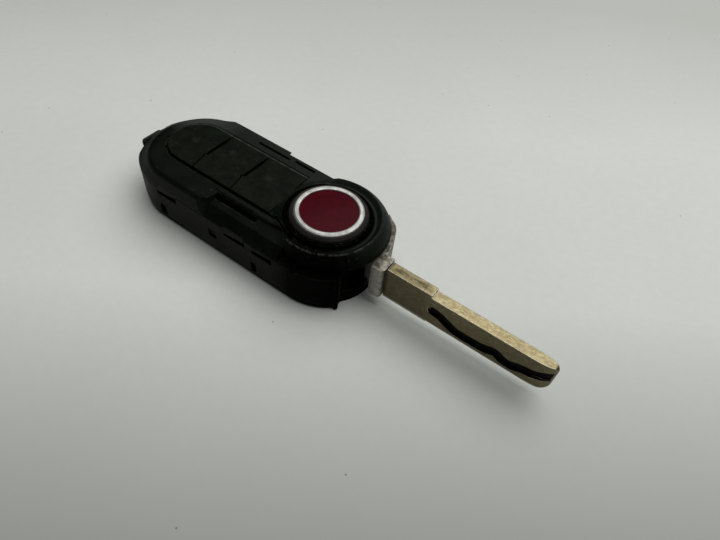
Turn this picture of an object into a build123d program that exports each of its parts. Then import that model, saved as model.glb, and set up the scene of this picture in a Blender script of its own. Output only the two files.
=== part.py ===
from build123d import *
import math
import os

os.makedirs("parts", exist_ok=True)

# Flip key remote, blade open. Millimetres. X runs along the open blade, Z is up.
# The origin lies on the table, under the middle of the round release button.

# Housing outline, seen from above: a rounded bar from the tail to the hub
body_half_width = 14.5
tail_centre_x = -41.0
seam_z = 10.6
deck_z = 15.0
slope_start_z = 11.2
top_near_inset = 0.6
top_far_inset = 3.1
top_tail_inset = 5.1
shoulder_round = 1.4
roof_strip_inset = 1.0
roof_strip_end_x = -22.0
roof_strip_chamfer = 1.4
roof_strip_slant = 6.5
foot_inset = 0.4
foot_height = 3.0
foot_chamfer = 0.5
wall = 1.4
floor_thickness = 1.2
plate_thickness = 1.15
seam_chamfer = 0.15
fixed_gap = 0.15

# Blade, with its plane a little to the near side of the hub's centre
blade_y = -1.22
blade_thickness = 2.7
shank_bottom_z = 4.0
shank_height = 9.2
upper_step = 0.8
lower_step = 0.3
shank_end_x = 29.2
tip_x = 57.9
tip_length = 5.0
tip_upper_round = 1.2
tip_lower_round = 2.6
track_width = 2.8
track_depth = 0.9
tang_length = 2.4
tang_shoulder = 1.2
shoulder_gap = 0.25

# Swivel: the blade turns half a turn about the pivot into the far side
pivot_x = 8.5
pivot_y = 5.7
pin_radius = 1.8
pin_running_gap = 0.06
pin_seat_gap = 0.02
swing_gap = 0.2
side_gap = 0.25
partition_thickness = 1.1

# Blade head, a nickel casting that follows the round front of the hub
head_disc_radius = 5.3
head_front_radius = 15.6
head_band = 4.1
head_start_angle = -5.0
head_end_angle = 52.0
lip_taper = 1.0
block_lead = 2.0
block_depth = 3.0
block_near_cheek = 1.33
block_far_cheek = 0.8
block_round = 1.0
roll_pin_radius = 0.75
roll_pin_cover = 0.5
spring_wire = 0.8
spring_coils = 6
sleeve_wall = 0.64
chamber_gap = 0.3

# Hub and release button
hub_top_z = 16.5
ridge_radius = 12.4
ridge_width = 0.5
inner_ridge_radius = 9.9
hub_groove_depth = 0.9
hub_groove_width = 0.8
run_down_start_x = -4.5
run_down_end_x = -9.5
dome_inset = 0.1
dome_start_angle = -36.0
dome_end_angle = 115.0
collar_width = 2.7
hub_shoulder_x = -3.5
mouth_x = 9.9
mouth_near_y = -9.6
front_floor_radius = 12.5
emblem_top_z = 17.8
emblem_radius = 8.0
emblem_rim = 1.35
emblem_height = 1.1
enamel_sink = 0.2
button_radius = 8.9
button_gap = 0.12
button_travel = 1.2
well_floor_thickness = 0.8
stem_radius = 1.2
stem_gap = 0.1
bore_radius = 2.5
bore_floor_z = 2.4
release_wire = 0.35
release_coils = 5
release_spring_length = 5.2
latch_height = 2.0

# Key pad
pad_tail_x = -40.4
pad_end_x = -11.2
pad_end_step = 0.6
pad_half_width = 7.5
near_groove_width = 0.6
near_groove_depth = 0.7
near_ridge_y = -9.0
recess_left_x = -24.6
recess_top_y = -9.5
recess_sink = 0.7
near_ridge_width = 0.45
near_ridge_height = 0.3
pad_gap = 0.14
pad_rise = 0.3
cap_thickness = 1.0
cap_skirt = 0.8
cap_ledge = 0.45
cap_ledge_height = 0.5
cap_ledge_width = 5.0
cap_travel = 0.45
divider_gap = 0.25
wide_divider_gap = 0.6
divider_x = [-35.6, -23.6]
cap_stop_gap = 0.06

# Circuit board and what it carries
board_thickness = 0.8
board_inset = 2.75
board_ledge = 1.2
ledge_height = 1.2
board_room = 1.2
switch_size = 4.0
switch_height = 1.2
plunger_radius = 0.9
plunger_height = 0.5
chip_size = 5.5
chip_height = 0.9
crystal_size = 3.2
chip_inset = 7.0
chip_y = 2.0
crystal_y = -4.5
coil_length = 9.0
coil_radius = 1.2
terminal_thickness = 0.25
strip_width = 3.0
strip_root = 9.5
strip_bend = 6.5
strip_pad = 1.5
strip_tip = 3.0
strip_tip_rise = 0.9
leaf_width = 5.0
leaf_foot_gap = 1.1
leaf_lift = 0.6
terminal_touch_gap = 0.05
leaf_gap = 0.06

# Battery drawer in the near wall
drawer_left_x = -39.6
drawer_right_x = -11.1
drawer_top_z = 8.4
drawer_face = 1.3
drawer_gap = 0.15
tongue_left_x = -34.2
tongue_right_x = -19.0
tab_length = 6.0
tray_floor = 0.8
cell_radius = 10.0
cell_height = 3.2
cell_gap = 0.12
tray_wall = 0.8
lock_x = -22.9
lock_z = 6.2
lock_radius = 1.5
lock_window = 2.6
window_depth = 0.6
notch_depth = 0.9
lock_gap = 0.05
cam_reach = 1.9

# Key-ring lug at the tail
lug_centre_x = -53.7
lug_centre_y = -3.0
lug_centre_z = 10.2
lug_radius = 2.1
lug_width = 5.2
ring_hole_radius = 1.3
scallop_radius = 1.9
scallop_length = 3.8
scallop_slit = 1.7

# Sizes that follow from the ones above
hub_radius = body_half_width
dome_radius = hub_radius - dome_inset
top_near_y = -body_half_width + top_near_inset
top_far_y = body_half_width - top_far_inset
top_tail_x = tail_centre_x - body_half_width + top_tail_inset
roof_strip_y = body_half_width - roof_strip_inset
shank_top_z = shank_bottom_z + shank_height
pocket_floor_z = shank_bottom_z - swing_gap
pocket_roof_z = shank_top_z + swing_gap
folded_blade_y = 2 * pivot_y - blade_y
partition_outer_y = folded_blade_y - blade_thickness / 2 - side_gap
partition_inner_y = partition_outer_y - partition_thickness
pocket_end_x = 2 * pivot_x - tip_x - 1.2
block_front_x = head_front_radius + block_lead
block_near_y = blade_y - blade_thickness / 2 - block_near_cheek
block_far_y = blade_y + blade_thickness / 2 + block_far_cheek
well_floor_z = pocket_roof_z + well_floor_thickness
button_bottom_z = well_floor_z + button_travel + 0.1
well_radius = button_radius + button_gap
cap_top_z = deck_z + pad_rise
plate_under_z = deck_z - plate_thickness
cap_bottom_z = plate_under_z - cap_stop_gap - cap_ledge_height
board_top_z = seam_z + board_thickness
plunger_top_z = board_top_z + switch_height + plunger_height
bay_end_x = -9.6
chip_x = divider_x[0] - chip_inset
cell_centre_x = (drawer_left_x + drawer_right_x) / 2
drawer_inner_y = -body_half_width + drawer_face
cell_centre_y = drawer_inner_y + 0.3 + cell_radius
tray_bottom_z = floor_thickness + 0.1
cell_bottom_z = tray_bottom_z + tray_floor
far = 40.0


def block(x0, x1, y0, y1, z0, z1):
    """A box between two corners."""
    centre = Pos((x0 + x1) / 2, (y0 + y1) / 2, (z0 + z1) / 2)
    return centre * Box(x1 - x0, y1 - y0, z1 - z0)


def rod(x, y, radius, z0, z1):
    """An upright cylinder."""
    return Pos(x, y, (z0 + z1) / 2) * Cylinder(radius, z1 - z0)


def cross_rod(x, z, radius, y0, y1):
    """A cylinder along Y."""
    return Pos(x, (y0 + y1) / 2, z) * Rot(90, 0, 0) * Cylinder(radius, y1 - y0)


def sector(x, y, radius, start, end, z0, z1):
    """A pie slice with its tip at x, y, from one angle to another."""
    tip = (x, y)
    first = (x + radius * math.cos(math.radians(start)), y + radius * math.sin(math.radians(start)))
    last = (x + radius * math.cos(math.radians(end)), y + radius * math.sin(math.radians(end)))
    rim = CenterArc(tip, radius, start, end - start)
    outline = Curve() + [Line(tip, first), rim, Line(last, tip)]
    return extrude(Pos(0, 0, z0) * make_face(outline), z1 - z0)


def slab(sketch, z0, z1):
    """A flat sketch raised from z0 to z1."""
    return extrude(Pos(0, 0, z0) * sketch, z1 - z0)


def ring_section(points):
    """A closed outline in radius and height, turned about the hub's axis."""
    return revolve(Plane.XZ * make_face(Polyline(*points, close=True)), Axis.Z)


def body_outline(inset):
    """The housing from above, pulled in on all sides."""
    return Pos(tail_centre_x / 2, 0) * SlotCenterToCenter(-tail_centre_x, 2 * (body_half_width - inset))


def pad_outline(grow):
    """The key pad from above: a round tail end and a nearly straight end towards the hub."""
    half = pad_half_width + grow
    tail = Pos(pad_tail_x, 0) * Circle(half)
    run = Pos(pad_tail_x / 2, 0) * Rectangle(-pad_tail_x, 2 * half)
    end_x = pad_end_x + grow
    hub_side = Polyline((end_x - pad_end_step, half + 1), (end_x - pad_end_step, 2.6), (end_x, 1.5),
                        (end_x, -half - 1), (far, -half - 1), (far, half + 1), close=True)
    return tail + run - make_face(hub_side)


def bay_outline(inset, far_y, end_x):
    """The electronics bay from above, closed by the blade partition and the hub."""
    room = Pos((end_x - far) / 2 - far / 2, (far_y - far) / 2) * Rectangle(end_x + 2 * far, far_y + far)
    return body_outline(inset) & room


def swing_room(z0, z1):
    """The space that the blade, its head and its block sweep through."""
    corner_reach = math.hypot(block_front_x - pivot_x, pivot_y - block_near_y) + 2 * side_gap
    lip_angle = math.radians(head_end_angle)
    lip_reach = math.hypot(head_front_radius * math.cos(lip_angle) - pivot_x,
                           head_front_radius * math.sin(lip_angle) - pivot_y) + side_gap
    core_reach = max(lip_reach, head_disc_radius + side_gap)
    room = rod(pivot_x, pivot_y, core_reach, z0, z1)
    room += sector(pivot_x, pivot_y, corner_reach, -75, 120, z0, z1)
    room += sector(pivot_x, pivot_y, head_disc_radius + 3.3, 110, 176, z0, z1)
    block_fold_y = 2 * pivot_y - block_far_y - side_gap
    room += block(2 * pivot_x - block_front_x - 2 * side_gap, pivot_x, block_fold_y, far, z0, z1)
    room += block(pocket_end_x, pivot_x, partition_outer_y, far, z0, z1)
    room += block(mouth_x, far, mouth_near_y, far, z0, z1)
    return room


def lug(grow):
    """The eye for the key ring, a round bar end with its foot in the tail wall."""
    y0 = lug_centre_y - lug_width / 2 - grow
    y1 = lug_centre_y + lug_width / 2 + grow
    eye = cross_rod(lug_centre_x, lug_centre_z, lug_radius + grow, y0, y1)
    eye = fillet(eye.edges().filter_by(GeomType.CIRCLE), 0.35)
    foot_x = lug_centre_x + ring_hole_radius + 0.35 + grow
    foot = block(lug_centre_x, foot_x, y0, y1, lug_centre_z - lug_radius, lug_centre_z + lug_radius + grow)
    return (eye & block(-2 * far, foot_x, -far, far, 0, far)) + foot


def ring_passage():
    """The hole through the lug, and the hollows in the tail where the key ring leaves it."""
    near_end = lug_centre_y - lug_width / 2
    far_end = lug_centre_y + lug_width / 2
    passage = cross_rod(lug_centre_x, lug_centre_z, ring_hole_radius, near_end - 1, far_end + 1)
    for y0, y1, slit in ((near_end - scallop_length, near_end, near_end - scallop_slit),
                         (far_end, far_end + scallop_length, far_end)):
        passage += cross_rod(lug_centre_x, lug_centre_z, scallop_radius, y0, y1)
        passage += block(-2 * far, lug_centre_x, y0, y1, lug_centre_z - scallop_radius,
                         lug_centre_z + scallop_radius)
        passage += block(-2 * far, lug_centre_x + 0.6, slit, slit + scallop_slit, lug_centre_z, far)
    return passage


def lower_envelope():
    """The outside of the lower shell before anything is cut."""
    foot = loft([body_outline(foot_inset), Pos(0, 0, foot_height) * body_outline(0)])
    shell = foot + slab(body_outline(0), foot_height, seam_z)
    shell = chamfer(shell.edges().group_by(Axis.Z)[0], foot_chamfer)
    return chamfer(shell.edges().group_by(Axis.Z)[-1], seam_chamfer)


def drawer_opening():
    """The hole in the near wall that the battery drawer fills, with room for the housing tabs."""
    opening = block(drawer_left_x - drawer_gap, drawer_right_x + drawer_gap, -far, 0,
                    floor_thickness, drawer_top_z + drawer_gap)
    tab_left, tab_right = tab_spans()
    opening += block(tab_left[0] - fixed_gap, tab_right[1] + fixed_gap, -far, drawer_inner_y + drawer_gap,
                     drawer_top_z, seam_z)
    return opening


def tab_spans():
    """Where the upper shell reaches down on each side of the drawer's tongue, along X."""
    left = (tongue_left_x - drawer_gap - tab_length, tongue_left_x - drawer_gap)
    right = (tongue_right_x + drawer_gap, tongue_right_x + drawer_gap + tab_length)
    return left, right


def wall_notch(x0, x1, left_z, right_z, low_z):
    """A hollow in the near wall, open to the outside, with a top that rises from left to right."""
    outline = Polyline((x0, low_z), (x1, low_z), (x1, right_z), (x0, left_z), close=True)
    return Pos(0, -body_half_width + notch_depth, 0) * extrude(Plane.XZ * make_face(outline), far)


def tab_notches():
    """The dark openings over the drawer, in front of the upper shell's tabs."""
    tab_left, tab_right = tab_spans()
    low_z = drawer_top_z + drawer_gap
    left = wall_notch(tab_left[0] - 0.3, tab_left[1], seam_z - 1.4, seam_z - 0.5, low_z)
    return left + wall_notch(tab_right[0], tab_right[1] + 0.3, seam_z - 1.4, seam_z - 0.7, low_z)


def finger_notch():
    """The upright slot at the drawer's left edge, half in the drawer and half in the shell."""
    return block(drawer_left_x - 1.1, drawer_left_x + 1.0, -far, -body_half_width + notch_depth, 1.6, 5.1)


def near_wall_details():
    """Slots and lines moulded into the near side of the lower shell."""
    cuts = finger_notch()
    cuts += block(drawer_right_x, drawer_right_x + 1.6, -far, -body_half_width + notch_depth, 1.8, 5.0)
    for x in (drawer_left_x, drawer_right_x + 1.0):
        cuts += block(x, x + 5.5, -far, -body_half_width + foot_inset + 0.6, 0.55, 1.0)
    slot_left = drawer_right_x + 0.7
    return cuts + wall_notch(slot_left, slot_left + 5.8, seam_z - 1.2, seam_z - 0.5, seam_z - 2.3)


def lower_housing():
    shell = lower_envelope()
    # Electronics bay, with a ledge round the top that carries the circuit board
    bay = slab(bay_outline(wall, partition_inner_y, bay_end_x), floor_thickness, seam_z - ledge_height)
    bay += slab(bay_outline(board_inset + board_ledge, partition_inner_y, bay_end_x),
                floor_thickness, seam_z)
    shell -= bay
    shell -= swing_room(pocket_floor_z, seam_z)
    # The floor in front of the mouth stops short, so the blade's block shows from below
    front = block(mouth_x, far, mouth_near_y, far, -1, pocket_floor_z + 1)
    shell -= front - rod(0, 0, front_floor_radius, -1, pocket_floor_z + 1)
    shell -= drawer_opening()
    shell -= near_wall_details() + tab_notches()
    rib_angle = math.asin(mouth_near_y / hub_radius)
    rib_x = (hub_radius - 0.5) * math.cos(rib_angle)
    shell += rod(rib_x - 0.35, mouth_near_y - 0.3, 0.6, foot_chamfer, seam_z - seam_chamfer)
    shell -= rod(0, 0, bore_radius, bore_floor_z, seam_z)
    shell -= rod(pivot_x, pivot_y, pin_radius + pin_seat_gap, floor_thickness + 0.4, pocket_floor_z)
    shell += lug(0)
    return shell - ring_passage()


def hub_top():
    """The round drum around the release button and the dome over the blade head."""
    groove_floor = hub_top_z - hub_groove_depth
    drum = ring_section([(0, seam_z), (ridge_radius, seam_z), (ridge_radius, hub_top_z - 0.25),
                         (ridge_radius - 0.25, hub_top_z), (ridge_radius - ridge_width, hub_top_z),
                         (inner_ridge_radius + 0.2 + hub_groove_width, groove_floor),
                         (inner_ridge_radius + 0.2, groove_floor), (inner_ridge_radius, hub_top_z - 0.2),
                         (inner_ridge_radius - 0.2, hub_top_z), (0, hub_top_z)])
    # Towards the keys the drum runs down to the deck, and a collar slopes up to the button
    run_down = Polyline((-2 * far, deck_z), (run_down_end_x, deck_z), (run_down_start_x, hub_top_z + 0.1),
                        (run_down_start_x, far), (-2 * far, far), close=True)
    drum -= extrude(Plane.XZ * make_face(run_down), far, both=True)
    collar = ring_section([(0, seam_z), (inner_ridge_radius + collar_width, seam_z),
                           (inner_ridge_radius + collar_width, deck_z), (inner_ridge_radius, hub_top_z - 0.2),
                           (inner_ridge_radius - 0.2, hub_top_z), (0, hub_top_z)])
    drum += collar & block(-far, run_down_start_x, -pad_half_width, pad_half_width, seam_z, far)
    crown = ThreePointArc((ridge_radius - 0.4, hub_top_z), (dome_radius - 0.75, deck_z - 0.1),
                          (dome_radius, pocket_roof_z))
    under = Polyline((dome_radius, pocket_roof_z), (ridge_radius - 1, pocket_roof_z),
                     (ridge_radius - 1, groove_floor), (ridge_radius - 0.4, hub_top_z))
    section = Plane.XZ * make_face(Curve() + [crown, under])
    dome_span = dome_end_angle - dome_start_angle
    dome = Rot(0, 0, dome_start_angle) * revolve(section, Axis.Z, dome_span)
    return drum + dome


def deck_outline():
    """The flat of the deck from above: it lies towards the near side and stops short of the tail."""
    half = (top_far_y - top_near_y) / 2
    centre_x = top_tail_x + half
    return Pos(centre_x / 2, (top_far_y + top_near_y) / 2) * SlotCenterToCenter(-centre_x, 2 * half)


def deck():
    """The top up to the hub: nearly upright on the near side, sloping on the far side and tail."""
    rim = slab(body_outline(0), seam_z, slope_start_z)
    rim = chamfer(rim.edges().group_by(Axis.Z)[0], seam_chamfer)
    slope = loft([Pos(0, 0, slope_start_z) * body_outline(0), Pos(0, 0, deck_z) * deck_outline()])
    slope = fillet(slope.edges().group_by(Axis.Z)[-1], shoulder_round)
    reach = block(-2 * far, hub_shoulder_x, -far, far, 0, far) + block(-2 * far, 0, 0, far, 0, far)
    return ((rim + slope) & reach) + roof_strip()


def roof_strip():
    """The raised strip that roofs the folded blade."""
    start_x = pocket_end_x - 1.8
    plan = Polyline((start_x, top_far_y - 2), (start_x + roof_strip_slant, roof_strip_y),
                    (roof_strip_end_x, roof_strip_y), (roof_strip_end_x, top_far_y - 2), close=True)
    strip = slab(make_face(plan), pocket_roof_z, deck_z)
    outer = strip.edges().group_by(Axis.Z)[-1].filter_by(Axis.X).sort_by(Axis.Y)[-1]
    return chamfer(outer, roof_strip_chamfer)


def near_groove():
    """The groove along the near side of the keys, which runs on round the hub."""
    y = -pad_half_width - near_groove_width / 2 + 0.1
    path = FilletPolyline((pad_tail_x - 5.2, y + 1.9), (pad_tail_x - 1.6, y), (pad_end_x + 2.4, y),
                          (-4.9, -9.5), (-1.6, -10.6), radius=1.2)
    return slab(trace(path, near_groove_width), deck_z - near_groove_depth, far)


def near_ridge():
    """The thin ridge beside that groove, which runs into the hub's outer ridge."""
    path = FilletPolyline((recess_left_x - 1, near_ridge_y), (-8.8, near_ridge_y - 0.1), (-4.4, -11.4),
                          radius=2.0)
    return slab(trace(path, near_ridge_width), deck_z - 0.5, deck_z + near_ridge_height)


def clip_recess():
    """The hollow in the near shoulder with the slot for a clip; its tail end fades into the shoulder."""
    edge_y = -body_half_width - 1
    foot = (-body_half_width, seam_z + 0.2)
    last = (edge_y, seam_z - 1)
    ends = [
        (recess_left_x - 2.4, (top_near_y + 0.3, deck_z + 0.2), (top_near_y, deck_z - 0.4),
         (-body_half_width - 0.1, slope_start_z)),
        (recess_left_x - 0.6, (top_near_y + 1.4, deck_z), (top_near_y + 0.6, deck_z - 0.9), foot),
        (recess_left_x + 0.4, (recess_top_y, deck_z - recess_sink), (recess_top_y - 2.7, deck_z - 1.7), foot),
    ]
    sections = []
    for x, first, second, third in ends:
        outline = Polyline((first[0], deck_z + 2), first, second, third, last, (edge_y, deck_z + 2), close=True)
        sections.append(Pos(x, 0, 0) * (Plane.YZ * make_face(outline)))
    hollow = loft(sections, ruled=True)
    hollow += extrude(sections[-1], hub_shoulder_x + 1 - recess_left_x - 0.4)
    slot = block(recess_left_x, recess_left_x + 12.2, recess_top_y - 1.3, recess_top_y - 0.1, deck_z - 2.5,
                 deck_z + 1)
    return hollow + fillet(slot.edges().filter_by(Axis.Z), 0.4)


def upper_housing():
    shell = deck() + hub_top() + near_ridge() - near_groove()
    # Room for the board at the seam and for the keys above it
    shell -= slab(bay_outline(board_inset - fixed_gap, partition_inner_y + 0.43, bay_end_x + 1),
                  seam_z, seam_z + board_room)
    shell -= slab(bay_outline(body_half_width - pad_half_width - 1.8, partition_inner_y - 0.3, bay_end_x),
                  seam_z, plate_under_z)
    shell -= slab(pad_outline(0), plate_under_z - 1, deck_z + 1)
    shell -= swing_room(seam_z - 1, pocket_roof_z)
    shell -= clip_recess()
    # Two clip slots along the far side of the pad
    for x0, x1, y in ((roof_strip_end_x - 7.6, roof_strip_end_x + 2.6, 9.5),
                      (roof_strip_end_x + 3.8, roof_strip_end_x + 10, 9.8)):
        shell -= block(x0, x1, y, y + 0.7, plate_under_z + 0.1, far)
    # Release button well, its stem's hole and the pivot pin's seat
    shell -= rod(0, 0, well_radius, well_floor_z, hub_top_z + 1)
    shell -= rod(0, 0, bore_radius, seam_z - 1, pocket_roof_z)
    shell -= rod(0, 0, stem_radius + stem_gap, pocket_roof_z - 1, well_floor_z + 1)
    shell -= rod(pivot_x, pivot_y, pin_radius + pin_seat_gap, pocket_roof_z - 1, well_floor_z - 0.1)
    for x0, x1 in tab_spans():
        tab = block(x0, x1, -far, drawer_inner_y, drawer_top_z + drawer_gap, seam_z + 1)
        shell += tab & slab(body_outline(0), 0, seam_z + 0.5)
    shell -= tab_notches()
    shell -= lug(0.1)
    return shell - ring_passage()


def release_button():
    """The black cone ring that holds the emblem, with its stem."""
    seat_z = emblem_top_z - emblem_height
    lip = emblem_radius + 0.06
    cone = ring_section([(0, button_bottom_z), (button_radius, button_bottom_z),
                         (button_radius, seat_z + 0.1), (button_radius - 0.15, seat_z + 0.35),
                         (lip + 0.15, emblem_top_z - 0.25), (lip, emblem_top_z - 0.35), (lip, seat_z),
                         (0, seat_z)])
    return cone + rod(0, 0, stem_radius, stem_bottom(), button_bottom_z + 0.2)


def stem_bottom():
    """The stem stops above the bore's floor, with room for its travel."""
    return bore_floor_z + button_travel + 0.6


def emblem_ring():
    """Bright dish with a raised, rounded rim."""
    base_z = emblem_top_z - emblem_height
    inner = emblem_radius - emblem_rim
    return ring_section([(0, base_z), (emblem_radius, base_z), (emblem_radius, emblem_top_z - 0.45),
                         (emblem_radius - 0.12, emblem_top_z - 0.2), (emblem_radius - 0.45, emblem_top_z),
                         (inner + 0.3, emblem_top_z), (inner + 0.06, emblem_top_z - 0.12),
                         (inner, emblem_top_z - 0.3), (inner, base_z + 0.4), (0, base_z + 0.4)])


def emblem_enamel():
    """Plain round enamel disc, slightly domed."""
    base_z = emblem_top_z - emblem_height + 0.4
    radius = emblem_radius - emblem_rim
    top_z = emblem_top_z - enamel_sink
    rise = 0.18
    crown_radius = (radius ** 2 + rise ** 2) / (2 * rise)
    return rod(0, 0, radius, base_z, top_z) & (Pos(0, 0, top_z - crown_radius) * Sphere(crown_radius))


def coil_spring(x, y, z0, z1, radius, wire, coils):
    """A round-wire coil spring whose outside fits between two heights."""
    height = z1 - z0 - wire
    path = Helix(height / coils, height, radius)
    start = Plane(origin=path @ 0, z_dir=path % 0)
    return Pos(x, y, z0 + wire / 2) * sweep(start * Circle(wire / 2), path)


def release_spring():
    mean_radius = (stem_radius + bore_radius) / 2
    return coil_spring(0, 0, bore_floor_z, bore_floor_z + release_spring_length, mean_radius, release_wire,
                       release_coils)


def release_latch():
    """Steel collar on the stem, with the tooth that faces the blade head."""
    z0 = bore_floor_z + release_spring_length
    collar = rod(0, 0, bore_radius - stem_gap, z0, z0 + latch_height)
    return collar - rod(0, 0, stem_radius, z0 - 1, z0 + latch_height + 1)


def divider_path(x):
    """The line between two keys, straight on the far side with a small hook by the middle."""
    edge = pad_half_width + 2
    return FilletPolyline((x + 0.1, edge), (x, -1.9), (x - 1.15, -2.0), (x - 0.3, -2.8), (x + 0.9, -edge),
                          radius=0.3)


def key_faces():
    """The three key tops from above, from the tail to the hub."""
    pad = pad_outline(-pad_gap)
    for x in divider_x:
        pad -= trace(divider_path(x), divider_gap)
        pad -= trace(Line((x, -1.9), (x + 0.1, 4.6)), wide_divider_gap)
    return pad.faces().sort_by(Axis.X)


def key_centre_x(index):
    """The middle of a key, where its switch sits."""
    tail_x = pad_tail_x - pad_half_width
    stops = [tail_x + 1.0] + divider_x + [pad_end_x]
    return (stops[index] + stops[index + 1]) / 2


def key_cap(index):
    """A key: a hollow cap with a ledge on both sides and a stem over its switch."""
    face = key_faces()[index]
    under_z = cap_top_z - cap_thickness
    top = slab(face, under_z, cap_top_z)
    top = fillet(top.edges().group_by(Axis.Z)[-1], 0.15)
    skirt = slab(face, cap_bottom_z, under_z) - slab(offset(face, -cap_skirt), cap_bottom_z, under_z)
    x = key_centre_x(index)
    side_strip = pad_outline(cap_ledge) - pad_outline(-pad_gap - 0.2)
    side_strip &= Pos(x, 0) * Rectangle(cap_ledge_width, far)
    ledges = slab(side_strip, cap_bottom_z, cap_bottom_z + cap_ledge_height)
    stem = rod(x, 0, plunger_radius + 0.3, plunger_top_z + cap_travel + 0.07, under_z)
    return top + skirt + ledges + stem


def circuit_board():
    outline = bay_outline(board_inset, partition_inner_y + 0.3, bay_end_x + 0.8)
    board = slab(outline, seam_z, board_top_z)
    for x in divider_x:
        board -= rod(x, -9.2, 0.6, seam_z - 1, board_top_z + 1)
    return board - lug(fixed_gap)


def key_switch(index):
    """A tactile switch: square body, thin steel cover edge and round plunger."""
    x = key_centre_x(index)
    half = switch_size / 2
    body = block(x - half, x + half, -half, half, board_top_z, board_top_z + switch_height)
    body = chamfer(body.edges().filter_by(Axis.Z), 0.5)
    return body + rod(x, 0, plunger_radius, board_top_z + switch_height - 0.1, plunger_top_z)


def under_board(x, y, size_x, size_y, height):
    """A chip soldered to the underside of the board."""
    chip = block(x - size_x / 2, x + size_x / 2, y - size_y / 2, y + size_y / 2, seam_z - height, seam_z)
    return chamfer(chip.edges().group_by(Axis.Z)[0], 0.15)


def transponder_coil():
    """A ferrite rod with its winding, along X."""
    x = cell_centre_x + coil_length - 0.5
    y = partition_inner_y - coil_radius - 0.8
    z = seam_z - coil_radius - 0.1
    core = Pos(x, y, z) * Rot(0, 90, 0) * Cylinder(coil_radius * 0.55, coil_length)
    winding = Pos(x, y, z) * Rot(0, 90, 0) * Cylinder(coil_radius, coil_length * 0.72)
    feet = Part()
    for side in (-1, 1):
        foot_x = x + side * (coil_length / 2 - 0.6)
        feet += block(foot_x - 0.6, foot_x + 0.6, y - 1, y + 1, z - coil_radius * 0.8, seam_z)
    return core + winding + feet


def battery_terminal_minus():
    """Sprung strip from the board down to the top of the coin cell."""
    half = terminal_thickness / 2
    root_z = seam_z - half
    touch_z = cell_bottom_z + cell_height + terminal_touch_gap
    x = cell_centre_x
    path = FilletPolyline((x - strip_root, root_z), (x - strip_bend, root_z), (x - strip_pad, touch_z + half),
                          (x + strip_pad, touch_z + half), (x + strip_tip, touch_z + strip_tip_rise),
                          radius=2 * terminal_thickness)
    strip = extrude(Plane.XZ * trace(path, terminal_thickness), strip_width)
    return Pos(0, cell_centre_y + strip_width, 0) * strip


def battery_terminal_plus():
    """Leaf behind the coin cell that touches its rim."""
    y0 = cell_centre_y + cell_radius + leaf_gap
    x0 = cell_centre_x - leaf_width / 2
    x1 = cell_centre_x + leaf_width / 2
    leaf = block(x0, x1, y0, y0 + terminal_thickness, cell_bottom_z + leaf_lift, seam_z)
    foot = block(x0, x1, y0, partition_inner_y - leaf_foot_gap, seam_z - terminal_thickness, seam_z)
    return leaf + foot


def battery_drawer():
    """Near wall panel with a tray behind it for the coin cell."""
    x0 = drawer_left_x
    x1 = drawer_right_x
    window = block(x0, x1, -far, drawer_inner_y, tray_bottom_z, drawer_top_z)
    window += block(tongue_left_x, tongue_right_x, -far, drawer_inner_y, tray_bottom_z, seam_z - 0.1)
    panel = lower_envelope() & window
    panel -= block(lock_x - lock_window / 2, lock_x + lock_window / 2, -far, -body_half_width + window_depth,
                   lock_z - lock_window / 2, lock_z + lock_window / 2)
    panel -= cross_rod(lock_x, lock_z, lock_radius + lock_gap, -body_half_width + window_depth, drawer_inner_y + 1)
    panel -= block(lock_x + 3.3, lock_x + 3.65, -far, -body_half_width + 0.35, 3.0, 4.8)
    panel -= finger_notch()
    ring_outer = cell_radius + cell_gap + tray_wall
    ring_top_z = cell_bottom_z + cell_height - 0.9
    tray = rod(cell_centre_x, cell_centre_y, ring_outer, tray_bottom_z, ring_top_z)
    tray += block(cell_centre_x - ring_outer, cell_centre_x + ring_outer, drawer_inner_y - 0.3, cell_centre_y,
                  tray_bottom_z, ring_top_z)
    tray -= block(x0, x1, cell_centre_y + cell_radius * 0.8, far, tray_bottom_z - 1, ring_top_z + 1)
    tray -= block(x0, x1, -far, drawer_inner_y - 0.3, tray_bottom_z - 1, ring_top_z + 1)
    tray -= rod(cell_centre_x, cell_centre_y, cell_radius + cell_gap, cell_bottom_z, ring_top_z + 1)
    return panel + tray


def coin_cell():
    """A coin cell: a can with a rounded rim and a raised, smaller cap."""
    step = 0.35
    can = rod(cell_centre_x, cell_centre_y, cell_radius, cell_bottom_z, cell_bottom_z + cell_height - step)
    can = fillet(can.edges().group_by(Axis.Z)[0], 0.4)
    cap = rod(cell_centre_x, cell_centre_y, cell_radius - 1.1, cell_bottom_z + cell_height - step,
              cell_bottom_z + cell_height)
    return can + cap


def drawer_lock():
    """Quarter-turn lock: slotted head behind the square window, with a cam behind the panel."""
    face_y = -body_half_width + window_depth
    back_y = drawer_inner_y + 0.65
    head = cross_rod(lock_x, lock_z, lock_radius, face_y, drawer_inner_y + 0.05)
    head -= block(lock_x - 1.1, lock_x + 1.1, face_y - 1, face_y + 0.4, lock_z - 0.25, lock_z + 0.25)
    cam = block(lock_x - 0.6, lock_x + 0.6, drawer_inner_y + 0.05, back_y, lock_z - 0.6, lock_z + cam_reach)
    return head + cam


def pivot_pin():
    pin = rod(pivot_x, pivot_y, pin_radius, floor_thickness + 0.4, well_floor_z - 0.1)
    return chamfer(pin.edges().filter_by(GeomType.CIRCLE), 0.2)


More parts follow.
